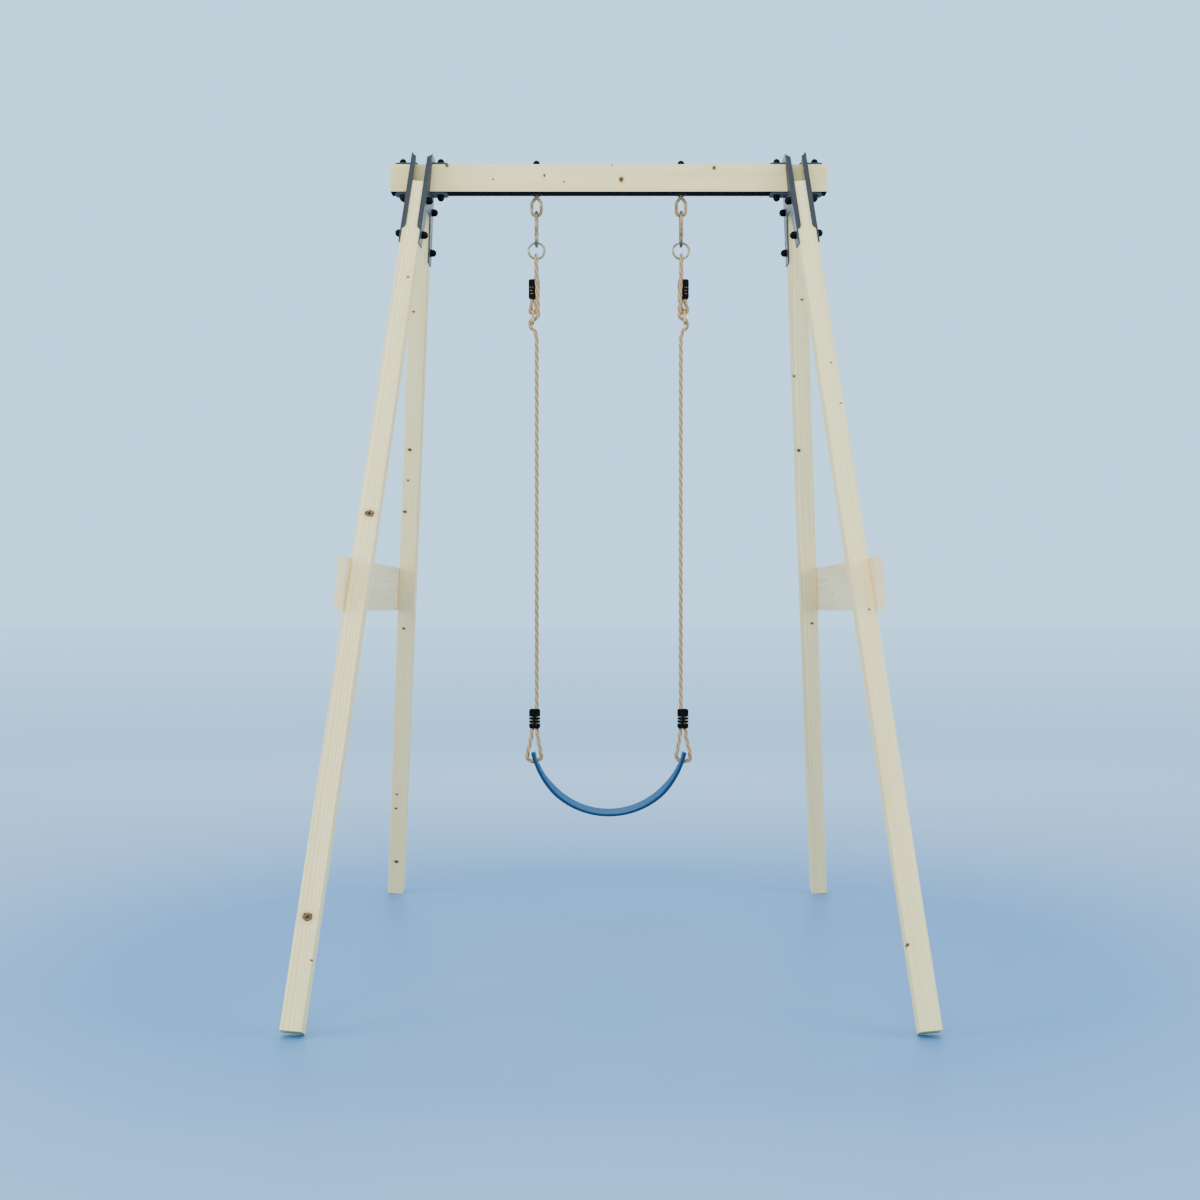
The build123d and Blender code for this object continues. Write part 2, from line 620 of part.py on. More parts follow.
def seat_eyelet():
    """A flanged metal tube that lines the rope hole."""
    half = eyelet_seat() + EYELET_FLANGE_THICKNESS
    tube = Cylinder(EYELET_BORE / 2 + EYELET_WALL, 2 * half)
    for side in (-1, 1):
        level = side * (half - EYELET_FLANGE_THICKNESS / 2)
        tube += Pos(0, 0, level) * Cylinder(EYELET_FLANGE / 2, EYELET_FLANGE_THICKNESS)
    return seat_hole() * (tube - Cylinder(EYELET_BORE / 2, 4 * half))


# ---- every node ----
def pair(name, right):
    """The right-hand piece and its mirror image, as two nodes."""
    return {name + "_right": right, name + "_left": mirrored(right)}


def frame_nodes():
    nodes = {"beam": beam()}
    legs = gable_pair(rear_leg())
    boards = gable_pair(brace_board())
    for side, leg in legs.items():
        nodes["leg_rear_" + side] = leg
        nodes["leg_front_" + side] = mirror(leg, about=Plane.XZ)
        nodes["brace_board_" + side] = boards[side]
    nodes.update(pair("bracket_outer", bracket(1, OUTER_BEAM_BOLT_X)))
    nodes.update(pair("bracket_inner", bracket(-1, INNER_BEAM_BOLT_X)))
    nodes.update(leg_fasteners())
    nodes.update(beam_fasteners())
    nodes["brace_screws"] = brace_screws()
    return nodes


def hook_nodes():
    place = Location((SWING_HALF_WIDTH, 0, BEAM_TOP))
    washer = hook_washer()
    hook_nut = place * nut(M10_LOW)
    cap = place * dome_cap(M10_LOW, M10_LOW.nut, M10_LOW.tail)
    nodes = pair("hook", hook())
    nodes["hook_washers"] = [washer, mirrored(washer)]
    nodes["hook_nuts"] = [hook_nut, mirrored(hook_nut)]
    nodes["hook_caps"] = [cap, mirrored(cap)]
    return nodes


def swing_nodes():
    nodes = {}
    nodes.update(pair("snap_hook", snap_hook()))
    nodes.update(pair("gate", gate()))
    nodes.update(pair("gate_pin", gate_pin()))
    nodes.update(pair("ring", ring()))
    nodes.update(pair("rope", mirrored(rope())))
    nodes.update(pair("upper_clamp", mirrored(rope_clamp(UPPER_CLAMP))))
    nodes.update(pair("lower_clamp", mirrored(rope_clamp(LOWER_CLAMP))))
    nodes.update(pair("adjuster", mirrored(adjuster())))
    nodes["seat_belt"] = seat_belt()
    nodes["seat_eyelets"] = [seat_eyelet(), mirrored(seat_eyelet())]
    return nodes


def main():
    os.makedirs("parts", exist_ok=True)
    nodes = {**frame_nodes(), **hook_nodes(), **swing_nodes()}
    for name, shape in nodes.items():
        if isinstance(shape, list):
            solids = [solid for piece in shape for solid in piece.solids()]
        else:
            solids = shape.solids()
        node = solids[0] if len(solids) == 1 else Compound(solids)
        node.label = name
        export_step(node, f"parts/{name}.step")
    print(len(nodes), "nodes")


main()
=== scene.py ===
# %% [markdown]
# # A garden swing
# A belt seat hangs from a timber frame on two laid ropes. The rigid parts arrive as finished solids from
# the frame file, in metres, so this lesson gives them their finishes, and makes by hand what a solid can't
# show: the twisted rope and the moulded seat. X runs along the beam, the front faces -Y, and Z is up.

# %% Load the frame
import json
import math

import bmesh
import bpy
import numpy as np
from mathutils import Matrix, Vector


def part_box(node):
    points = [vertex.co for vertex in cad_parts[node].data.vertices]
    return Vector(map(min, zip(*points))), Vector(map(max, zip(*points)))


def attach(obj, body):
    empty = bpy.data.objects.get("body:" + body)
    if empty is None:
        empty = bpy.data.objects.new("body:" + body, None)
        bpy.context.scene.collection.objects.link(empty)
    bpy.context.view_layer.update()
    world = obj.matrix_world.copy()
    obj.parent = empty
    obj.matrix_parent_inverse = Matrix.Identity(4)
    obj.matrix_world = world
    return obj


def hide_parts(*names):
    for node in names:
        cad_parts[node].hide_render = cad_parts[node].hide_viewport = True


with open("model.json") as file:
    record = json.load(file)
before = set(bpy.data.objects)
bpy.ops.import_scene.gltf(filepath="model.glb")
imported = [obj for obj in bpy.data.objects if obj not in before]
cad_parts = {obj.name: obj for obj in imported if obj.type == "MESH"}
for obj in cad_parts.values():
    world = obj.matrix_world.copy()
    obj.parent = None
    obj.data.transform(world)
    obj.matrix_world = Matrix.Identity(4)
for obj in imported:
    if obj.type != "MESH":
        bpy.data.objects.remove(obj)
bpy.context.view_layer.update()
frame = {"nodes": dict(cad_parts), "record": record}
nodes = frame["nodes"]

# %% [markdown]
# ## The camera
# The swing is seen straight from the front, from chest height and about five metres away. A camera could be
# aimed with a constraint, but a fixed place and a level view keep the beam and the floor line straight, so
# a small upward shift frames the picture instead of a tilt.

# %% Camera
CAMERA_PLACE = (-0.028, -5.12, 1.091)
LENS_MM = 48.0
FRAME_SHIFT_Y = 0.0078

camera_data = bpy.data.cameras.new("front_camera")
camera_data.lens = LENS_MM
camera_data.sensor_width = 36.0
camera_data.shift_y = FRAME_SHIFT_Y
camera = bpy.data.objects.new("front_camera", camera_data)
camera.location = CAMERA_PLACE
camera.rotation_euler = (math.radians(90), 0, 0)
bpy.context.scene.collection.objects.link(camera)
bpy.context.scene.camera = camera
print("camera at", CAMERA_PLACE)

# %% [markdown]
# ## The ropes' route
# Each side of the swing has one rope. It starts in the upper clamp, makes an eye round the top bar of the
# wire buckle, goes back through the clamp, over the ring, down through the buckle, and straight to the
# lower clamp. It then loops through the seat's eyelet and ends in the same clamp. The route is one smooth
# spline, and the points are its control points. Two of them stand close to each end of the long straight
# fall, so that it stays straight.

# %% Rope route and spline
LEFT_ROUTE = [
    (-0.2455, 0.0099, 2.1410),
    (-0.2455, 0.0099, 2.0969),
    (-0.2455, 0.0099, 2.0710),
    (-0.2548, 0.0099, 2.0462),
    (-0.2438, 0.0099, 2.0383),
    (-0.2325, 0.0099, 2.0438),
    (-0.2325, 0.0099, 2.0564),
    (-0.2325, 0.0099, 2.1511),
    (-0.2325, 0.0130, 2.2245),
    (-0.2325, -0.0130, 2.2245),
    (-0.2298, -0.0087, 2.1511),
    (-0.2261, -0.0070, 2.0520),
    (-0.2250, -0.0065, 2.0220),
    (-0.2521, 0.0040, 2.0158),
    (-0.2521, 0.0030, 1.9940),
    (-0.2370, 0.0010, 1.9840),
    (-0.2305, 0.0000, 1.9620),
    (-0.2305, 0.0000, 1.9390),
    (-0.2305, 0.0000, 0.7700),
    (-0.2305, 0.0000, 0.6980),
    (-0.2195, 0.0000, 0.6400),
    (-0.2135, 0.0000, 0.6130),
    (-0.2400, 0.0000, 0.6020),
    (-0.2625, 0.0000, 0.6100),
    (-0.2590, 0.0000, 0.6370),
    (-0.2435, 0.0000, 0.6950),
    (-0.2435, 0.0000, 0.7650),
]
ROUTES = {"left": LEFT_ROUTE, "right": [(-x, y, z) for x, y, z in LEFT_ROUTE]}


def spline_line(name, points):
    """The points of a smooth spline through a rope's route."""
    curve = bpy.data.curves.new(name, "CURVE")
    curve.dimensions = "3D"
    curve.resolution_u = 24
    spline = curve.splines.new("NURBS")
    spline.points.add(len(points) - 1)
    for spot, point in zip(spline.points, points):
        spot.co = (*point, 1.0)
    spline.order_u = 3
    spline.use_endpoint_u = True
    guide = bpy.data.objects.new(name, curve)
    bpy.context.scene.collection.objects.link(guide)
    mesh = bpy.data.meshes.new_from_object(guide)
    line = np.array([vertex.co for vertex in mesh.vertices])
    bpy.data.objects.remove(guide)
    bpy.data.meshes.remove(mesh)
    return line


def even_steps(line, step):
    """The same line, cut into even steps."""
    runs = np.linalg.norm(np.diff(line, axis=0), axis=1)
    along = np.concatenate([[0.0], np.cumsum(runs)])
    stations = np.linspace(0.0, along[-1], int(along[-1] / step) + 1)
    even = np.stack([np.interp(stations, along, line[:, axis]) for axis in range(3)], axis=1)
    return even, stations


rope_lines = {side: spline_line("rope_guide_" + side, route) for side, route in ROUTES.items()}
print("rope guides have", {side: len(line) for side, line in rope_lines.items()}, "points")

# %% [markdown]
# ## Laid rope
# Real rope is three strands twisted round each other, and each strand is a bundle of yarns. A round tube
# with a twisted picture on it looks flat at its edges, so the three strands are built as geometry: each is
# a small tube that winds round the route. A frame is carried along the route without turning, so the twist
# stays even in bends. A map of the surface, along and around each strand, is kept for the yarns in the
# finish.

# %% Strand builder
STRANDS = 3
LAY_LENGTH = 0.085
STRAND_RADIUS = 0.0036
STRAND_OFFSET = 0.0032
STRAND_SIDES = 12
ROPE_STEP = 0.0034


def carried_frames(line):
    """Two directions across the line at each point, carried along it without twist."""
    tangents = np.gradient(line, axis=0)
    tangents /= np.linalg.norm(tangents, axis=1)[:, None]
    side = np.cross(tangents[0], (0.0, 1.0, 0.0))
    if np.linalg.norm(side) < 0.1:
        side = np.cross(tangents[0], (1.0, 0.0, 0.0))
    sides = []
    for tangent in tangents:
        side = side - tangent * np.dot(side, tangent)
        side = side / np.linalg.norm(side)
        sides.append(side)
    sides = np.array(sides)
    return sides, np.cross(tangents, sides)


def laid_rope(name, line):
    """Three strands round a line, as one mesh with a map of each strand's surface."""
    even, stations = even_steps(line, ROPE_STEP)
    first, second = carried_frames(even)
    work = bmesh.new()
    uv = work.loops.layers.uv.new("strand_map")
    for strand in range(STRANDS):
        turn = -2 * math.pi * (stations / LAY_LENGTH + strand / STRANDS)
        out = first * np.cos(turn)[:, None] + second * np.sin(turn)[:, None]
        core = even + out * STRAND_OFFSET
        runs = np.gradient(core, axis=0)
        runs /= np.linalg.norm(runs, axis=1)[:, None]
        across = out - runs * np.sum(out * runs, axis=1)[:, None]
        across /= np.linalg.norm(across, axis=1)[:, None]
        up = np.cross(runs, across)
        rings = []
        for centre, a, b in zip(core, across, up):
            ring = []
            for corner in range(STRAND_SIDES):
                angle = 2 * math.pi * corner / STRAND_SIDES
                spot = centre + STRAND_RADIUS * (a * math.cos(angle) + b * math.sin(angle))
                ring.append(work.verts.new(spot))
            rings.append(ring)
        for index in range(len(rings) - 1):
            low, high = stations[index], stations[index + 1]
            for corner in range(STRAND_SIDES):
                after = (corner + 1) % STRAND_SIDES
                here, ahead = rings[index], rings[index + 1]
                face = work.faces.new((here[corner], here[after], ahead[after], ahead[corner]))
                face.smooth = True
                edges = (corner / STRAND_SIDES, (corner + 1) / STRAND_SIDES)
                spots = ((edges[0], low), (edges[1], low), (edges[1], high), (edges[0], high))
                for loop, (around, along) in zip(face.loops, spots):
                    loop[uv].uv = (around + strand, along / LAY_LENGTH)
        work.faces.new(list(reversed(rings[0])))
        work.faces.new(rings[-1])
    bmesh.ops.recalc_face_normals(work, faces=work.faces)
    mesh = bpy.data.meshes.new(name)
    work.to_mesh(mesh)
    work.free()
    rope = bpy.data.objects.new(name, mesh)
    bpy.context.scene.collection.objects.link(rope)
    return rope, even, float(stations[-1])


ropes = {}
for side, line in rope_lines.items():
    rope, path, length = laid_rope("laid_rope_" + side, line)
    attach(rope, "ropes")
    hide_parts("rope_" + side)
    ropes[side] = rope
    print(rope.name, "is", round(length, 3), "m long with", len(rope.data.polygons), "faces")

# %% [markdown]
# ## The belt seat
# The real seat is a strip of moulded rubber that hangs between its two eyelets in an arc. It could be a
# flat strip that is bent by a modifier, but a spin keeps the arc exact: one rounded section is drawn at the
# left tip and spun about the middle of the arc. The tips are then drawn in, and two holes are cut where the
# eyelets sit.

# %% Seat belt
ARC_CENTRE = Vector((0.0, 0.0, 0.689))
ARC_RADIUS = 0.248
TIP_ANGLE = math.radians(77.0)
BELT_WIDTH = 0.140
TIP_WIDTH = 0.050
FULL_WIDTH_X = 0.165
MIDDLE_THICKNESS = 0.008
TIP_THICKNESS = 0.012
SPIN_STEPS = 72
SIDE_SWELL = 2.6
STRAIGHT_SHARE = 0.6


def lone(thing):
    """Only this object is selected and active."""
    bpy.ops.object.select_all(action="DESELECT")
    thing.select_set(True)
    bpy.context.view_layer.objects.active = thing


def keep_modifier(thing, name):
    """A modifier is made part of the mesh."""
    lone(thing)
    bpy.ops.object.modifier_apply(modifier=name)


bpy.ops.object.select_all(action="DESELECT")
bpy.ops.mesh.primitive_grid_add(x_subdivisions=2, y_subdivisions=20, size=1.0)
belt = bpy.context.object
belt.name = "belt_seat"
belt.scale = (TIP_THICKNESS, BELT_WIDTH, 1.0)
bpy.ops.object.transform_apply(location=False, rotation=False, scale=True)
section_place = ARC_CENTRE + Vector((-math.sin(TIP_ANGLE), 0.0, -math.cos(TIP_ANGLE))) * ARC_RADIUS
section_turn = Matrix.Rotation(math.pi / 2 - TIP_ANGLE, 4, "Y")
belt.data.transform(Matrix.Translation(section_place) @ section_turn.inverted())
bpy.ops.object.mode_set(mode="EDIT")
bpy.ops.mesh.select_all(action="SELECT")
bpy.ops.mesh.spin(steps=SPIN_STEPS, angle=2 * TIP_ANGLE, center=ARC_CENTRE, axis=(0.0, 1.0, 0.0))
bpy.ops.object.mode_set(mode="OBJECT")
belt_end = max(vertex.co.x for vertex in belt.data.vertices)
print("spun belt reaches x =", round(belt_end, 4), "with", len(belt.data.polygons), "faces")

# %% [markdown]
# ## The belt's tips
# Towards the tips the belt gets narrower and thicker, so that the eyelets have rubber all round them. Each
# point is moved by the place that it has on the arc: across for the width, and in or out for the thickness.

# %% Draw in the tips
tip_x = ARC_RADIUS * math.sin(TIP_ANGLE)
for vertex in belt.data.vertices:
    spoke = Vector((vertex.co.x - ARC_CENTRE.x, 0.0, vertex.co.z - ARC_CENTRE.z))
    swing = abs(math.atan2(spoke.x, -spoke.z)) / TIP_ANGLE
    swell = min(1.0, SIDE_SWELL * swing ** 2)
    thickness = MIDDLE_THICKNESS + (TIP_THICKNESS - MIDDLE_THICKNESS) * swell
    radius = ARC_RADIUS + (spoke.length - ARC_RADIUS) * thickness / TIP_THICKNESS
    taper = min(1.0, max(0.0, (abs(vertex.co.x) - FULL_WIDTH_X) / (tip_x - FULL_WIDTH_X)))
    eased_taper = taper * taper * (3.0 - 2.0 * taper)
    narrowing = STRAIGHT_SHARE * taper + (1.0 - STRAIGHT_SHARE) * eased_taper
    width = BELT_WIDTH + (TIP_WIDTH - BELT_WIDTH) * narrowing
    spoke.normalize()
    vertex.co.x = ARC_CENTRE.x + spoke.x * radius
    vertex.co.z = ARC_CENTRE.z + spoke.z * radius
    vertex.co.y = vertex.co.y * width / BELT_WIDTH
lone(belt)
bpy.ops.object.mode_set(mode="EDIT")
bpy.ops.mesh.select_all(action="SELECT")
bpy.ops.mesh.remove_doubles(threshold=0.00001)
bpy.ops.mesh.normals_make_consistent(inside=False)
bpy.ops.object.mode_set(mode="OBJECT")
for x in (0.0, 0.235):
    half_width = max(vertex.co.y for vertex in belt.data.vertices if abs(abs(vertex.co.x) - x) < 0.006)
    print("half width at x =", x, "is", round(half_width, 4))

# %% [markdown]
# ## Eyelet holes and soft edges
# The rubber stops at the eyelet, and the mould leaves every edge a little round. The holes are cut with a
# boolean, because its cutter is the eyelet's own outline, and a small bevel then rounds all sharp edges,
# the holes' too.

# %% Cut and round the belt
HOLE_Z = 0.607
HOLE_RADIUS = 0.0103
RECESS_RADIUS = 0.0153
RECESS_START = 0.0050
RECESS_DEPTH = 0.010
HOLE_DEPTH = 0.040
HOLE_SIDES = 40
EDGE_ROUND = 0.0013
SHARP_EDGE = math.radians(40)
SMOOTH_EDGE = math.radians(32)

hole_angle = math.acos((ARC_CENTRE.z - HOLE_Z) / ARC_RADIUS)
cutters = []
for side in (-1, 1):
    out = Vector((side * math.sin(hole_angle), 0.0, -math.cos(hole_angle)))
    place = ARC_CENTRE + out * ARC_RADIUS
    turn = out.to_track_quat("Z", "Y").to_euler()
    for radius, start, depth in (
        (HOLE_RADIUS, -HOLE_DEPTH / 2, HOLE_DEPTH),
        (RECESS_RADIUS, RECESS_START, RECESS_DEPTH),
        (RECESS_RADIUS, -RECESS_START - RECESS_DEPTH, RECESS_DEPTH),
    ):
        bpy.ops.object.select_all(action="DESELECT")
        middle = place + out * (start + depth / 2)
        bpy.ops.mesh.primitive_cylinder_add(
            vertices=HOLE_SIDES, radius=radius, depth=depth, location=middle, rotation=turn
        )
        cutters.append(bpy.context.object)
for index, cutter in enumerate(cutters):
    cut = belt.modifiers.new("hole_%d" % index, "BOOLEAN")
    cut.operation = "DIFFERENCE"
    cut.object = cutter
    keep_modifier(belt, cut.name)
    bpy.data.objects.remove(cutter)
rounding = belt.modifiers.new("soft_edges", "BEVEL")
rounding.width = EDGE_ROUND
rounding.segments = 3
rounding.limit_method = "ANGLE"
rounding.angle_limit = SHARP_EDGE
keep_modifier(belt, "soft_edges")
lone(belt)
bpy.ops.object.shade_smooth_by_angle(angle=SMOOTH_EDGE)
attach(belt, "seat")
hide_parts("seat_belt")
print("belt has", len(belt.data.polygons), "faces and weighs on", len(cutters), "cuts")

# %% [markdown]
# ## Floor and light
# A garden swing is best judged in the even light of an overcast day. A sky texture would bring a sun and
# hard shadows, so the world is one pale colour instead, with wide soft panels at the left, the right, the
# front and the back. The floor is a large pale sheet with a slight polish, so that the feet have a soft
# mirror image under them, and it pales with distance, so that no hard horizon cuts the picture.

# %% Floor and light
def paint(red, green, blue):
    """A colour as on a paint card, 0 to 255, in the linear values that shaders use."""
    shares = [value / 255 for value in (red, green, blue)]
    return (*[s / 12.92 if s <= 0.04045 else ((s + 0.055) / 1.055) ** 2.4 for s in shares], 1.0)


SKY_STRENGTH = 2.1
FLOOR_RADIUS = 95.0
PANEL_AIM = Vector((0.0, 0.0, 1.2))

world = bpy.data.worlds.new("overcast")
world.use_nodes = True
sky = world.node_tree.nodes["Background"]
sky.inputs["Color"].default_value = paint(164, 212, 246)
sky.inputs["Strength"].default_value = SKY_STRENGTH
bpy.context.scene.world = world

PANELS = {
    "left_panel": ((-5.2, -2.6, 2.6), 3.2, 260.0, (1.0, 0.96, 0.86)),
    "right_panel": ((5.2, -2.6, 2.6), 3.2, 230.0, (1.0, 0.96, 0.86)),
    "front_panel": ((-0.8, -5.0, 5.0), 4.0, 190.0, (1.0, 0.96, 0.88)),
    "back_panel": ((0.0, 5.2, 4.6), 4.0, 160.0, (1.0, 0.97, 0.92)),
}
for name, (place, size, power, tint) in PANELS.items():
    panel_data = bpy.data.lights.new(name, "AREA")
    panel_data.size = size
    panel_data.energy = power
    panel_data.color = tint
    panel = bpy.data.objects.new(name, panel_data)
    panel.location = place
    panel.rotation_euler = (PANEL_AIM - Vector(place)).to_track_quat("-Z", "Y").to_euler()
    bpy.context.scene.collection.objects.link(panel)

bpy.ops.object.select_all(action="DESELECT")
bpy.ops.mesh.primitive_circle_add(vertices=96, radius=FLOOR_RADIUS, fill_type="NGON")
floor = bpy.context.object
floor.name = "floor"
print("lights", list(PANELS), "floor radius", FLOOR_RADIUS, "m")

# %% [markdown]
# ## Words for finishes
# Every finish below is one shader with a pattern of small nodes in front of it. The same few node sentences
# come back each time, such as adding two values or blending two colours, so they are given short names here
# once.

# %% Node words
def new_finish(name, roughness, metallic=0.0, specular=0.5):
    """A material with one shader, ready for its pattern."""
    made = bpy.data.materials.new(name)
    made.use_nodes = True
    shader = made.node_tree.nodes["Principled BSDF"]
    shader.inputs["Roughness"].default_value = roughness
    shader.inputs["Metallic"].default_value = metallic
    shader.inputs["Specular IOR Level"].default_value = specular
    return made


def join(finish, socket, value):
    """A value goes into a socket, as a wire or as a constant."""
    if isinstance(value, bpy.types.NodeSocket):
        finish.node_tree.links.new(value, socket)
    else:
        socket.default_value = value


def feed(finish, socket_name, value):
    """A pattern reaches the shader."""
    join(finish, finish.node_tree.nodes["Principled BSDF"].inputs[socket_name], value)


def calc(finish, operation, *terms):
    """One step of arithmetic."""
    step = finish.node_tree.nodes.new("ShaderNodeMath")
    step.operation = operation
    for socket, term in zip(step.inputs, terms):
        join(finish, socket, term)
    return step.outputs[0]


def calc_vector(finish, operation, *terms):
    """One step of vector arithmetic."""
    step = finish.node_tree.nodes.new("ShaderNodeVectorMath")
    step.operation = operation
    for socket, term in zip(step.inputs, terms):
        join(finish, socket, term)
    return step.outputs["Value" if operation == "LENGTH" else "Vector"]


def mottle(finish, where, scale, detail=2.0, rough=0.5):
    """Soft random patches, from 0 to 1."""
    noise = finish.node_tree.nodes.new("ShaderNodeTexNoise")
    join(finish, noise.inputs["Vector"], where)
    noise.inputs["Scale"].default_value = scale
    noise.inputs["Detail"].default_value = detail
    noise.inputs["Roughness"].default_value = rough
    return noise.outputs["Fac"]


def ease(finish, value, low, high, start=0.0, end=1.0):
    """A smooth change from start to end while the value goes from low to high."""
    step = finish.node_tree.nodes.new("ShaderNodeMapRange")
    step.interpolation_type = "SMOOTHSTEP"
    for socket, term in zip(step.inputs, (value, low, high, start, end)):
        join(finish, socket, term)
    return step.outputs[0]


def blend(finish, share, first, second):
    """Two colours blended by a share."""
    step = finish.node_tree.nodes.new("ShaderNodeMix")
    step.data_type = "RGBA"
    for index, term in ((0, share), (6, first), (7, second)):
        join(finish, step.inputs[index], term)
    return step.outputs[2]


def relief(finish, height, depth, strength=1.0, under=None):
    """A height pattern as fine relief, on top of another one if given."""
    step = finish.node_tree.nodes.new("ShaderNodeBump")
    step.inputs["Strength"].default_value = strength
    step.inputs["Distance"].default_value = depth
    join(finish, step.inputs["Height"], height)
    if under is not None:
        join(finish, step.inputs["Normal"], under)
    return step.outputs[0]


def own_place(finish):
    """The place of each point on the piece, in metres."""
    return finish.node_tree.nodes.new("ShaderNodeTexCoord").outputs["Object"]


def give(finish, *names):
    """CAD nodes or new pieces get a finish in all their slots."""
    for name in names:
        thing = nodes.get(name) or bpy.data.objects[name]
        if not thing.material_slots:
            thing.data.materials.append(finish)
        for material_slot in thing.material_slots:
            material_slot.material = finish


FADE_START = 1.5
FADE_REACH = 7.0

floor_finish = new_finish("polished_floor", 0.42, specular=0.1)
floor_spot = own_place(floor_finish)
floor_patches = mottle(floor_finish, floor_spot, 0.35)
near_floor = blend(floor_finish, floor_patches, paint(90, 132, 174), paint(96, 138, 178))
beyond_feet = calc(floor_finish, "SUBTRACT", calc_vector(floor_finish, "LENGTH", floor_spot), FADE_START)
distance = calc(floor_finish, "MAXIMUM", beyond_feet, 0.0)
far_out = calc(floor_finish, "DIVIDE", distance, calc(floor_finish, "ADD", distance, FADE_REACH))
feed(floor_finish, "Base Color", blend(floor_finish, far_out, near_floor, paint(254, 255, 255)))
floor.data.materials.append(floor_finish)
print("floor finish has", len(floor_finish.node_tree.nodes), "nodes")

# %% [markdown]
# ## Sawn timber
# The frame is planed spruce. A picture of planks would repeat and would not match from one face to the
# next, so the grain is a solid pattern: growth rings are circles about the heart of the tree, which lies
# outside each timber, and every face cuts through them where it really would. A timber has its own axes for
# this: across the seen face, out of that face, and along the length. Dark fibres are drawn out along the
# length, and a knot is where a branch came through: a brown core with a dark rim, and rings that bend round
# it.

# %% Timber finish
RING_SPACING = 0.0042
RING_WANDER = 0.022
KNOT_DEPTH = 0.030
KNOT_REACH = 0.022
KNOT_HEIGHT = 0.8
KNOT_RAGGED = 1.1
KNOT_PUSH = 0.006
FAR_FROM_KNOTS = 9.0
KNOT_TONES = {"halo": (206, 164, 110), "heart": (38, 27, 19), "core": (142, 104, 66), "rim": (40, 26, 18)}


def timber_finish(name, middle, along, face, heart, tones, knots):
    """Spruce with rings about the heart, fibres along the length, and knots at (along, across, radius)."""
    made = new_finish(name, 0.62, specular=0.08)
    across = face.cross(along)
    turn = Matrix((across, face, along)).transposed().to_euler()
    axes = made.node_tree.nodes.new("ShaderNodeMapping")
    axes.vector_type = "TEXTURE"
    axes.inputs["Location"].default_value = middle
    axes.inputs["Rotation"].default_value = turn
    join(made, axes.inputs["Vector"], own_place(made))
    spot = axes.outputs[0]

    near = FAR_FROM_KNOTS
    for at, side, radius in knots:
        from_knot = calc_vector(made, "SUBTRACT", spot, (side, KNOT_DEPTH, at))
        shaped = calc_vector(made, "DIVIDE", from_knot, (radius, KNOT_REACH, radius * KNOT_HEIGHT))
        near = calc(made, "MINIMUM", near, calc_vector(made, "LENGTH", shaped))
    ragged = calc(made, "MULTIPLY", mottle(made, spot, 220.0), KNOT_RAGGED)
    near = calc(made, "ADD", near, calc(made, "SUBTRACT", ragged, KNOT_RAGGED / 2))

    drawn_out = calc_vector(made, "MULTIPLY", spot, (1.0, 1.0, 0.06))
    wander = calc(made, "MULTIPLY", mottle(made, drawn_out, 9.0, 3.0), RING_WANDER)
    flat = calc_vector(made, "SUBTRACT", calc_vector(made, "MULTIPLY", spot, (1.0, 1.0, 0.004)), heart)
    pushed = calc(made, "MULTIPLY", ease(made, near, 3.5, 0.8), KNOT_PUSH)
    out = calc(made, "ADD", calc(made, "ADD", calc_vector(made, "LENGTH", flat), wander), pushed)
    ring = calc(made, "FRACT", calc(made, "DIVIDE", out, RING_SPACING))
    late_wood = calc(made, "MULTIPLY", ease(made, ring, 0.25, 0.86), ease(made, ring, 1.0, 0.9))

    fibre_spot = calc_vector(made, "MULTIPLY", spot, (1.0, 1.0, 0.012))
    fibres = mottle(made, fibre_spot, 900.0, 3.0, 0.6)
    streaks = mottle(made, fibre_spot, 120.0, 3.0, 0.55)
    clouds = mottle(made, drawn_out, 16.0, 2.0)

    colour = blend(made, ease(made, clouds, 0.35, 0.7), paint(*tones["pale"]), paint(*tones["warm"]))
    colour = blend(made, calc(made, "MULTIPLY", late_wood, tones["rings"]), colour, paint(*tones["late"]))
    colour = blend(made, ease(made, streaks, 0.56, 0.76, 0.0, 0.35), colour, paint(*tones["late"]))
    colour = blend(made, ease(made, fibres, 0.5, 0.75, 0.0, 0.22), colour, paint(*tones["late"]))
    colour = blend(made, ease(made, near, 2.6, 1.1, 0.0, 0.5), colour, paint(*KNOT_TONES["halo"]))
    heart_share = ease(made, near, 0.15, 0.85)
    core = blend(made, heart_share, paint(*KNOT_TONES["heart"]), paint(*KNOT_TONES["core"]))
    colour = blend(made, ease(made, near, 1.12, 0.98), colour, core)
    rim = calc(made, "MULTIPLY", ease(made, near, 1.25, 1.05), ease(made, near, 0.7, 0.95))
    colour = blend(made, calc(made, "MULTIPLY", rim, 0.85), colour, paint(*KNOT_TONES["rim"]))
    feed(made, "Base Color", colour)
    feed(made, "Roughness", ease(made, late_wood, 0.0, 1.0, 0.66, 0.54))
    grain = relief(made, fibres, 0.0004, 0.5)
    feed(made, "Normal", relief(made, late_wood, 0.0003, 0.5, grain))
    return made


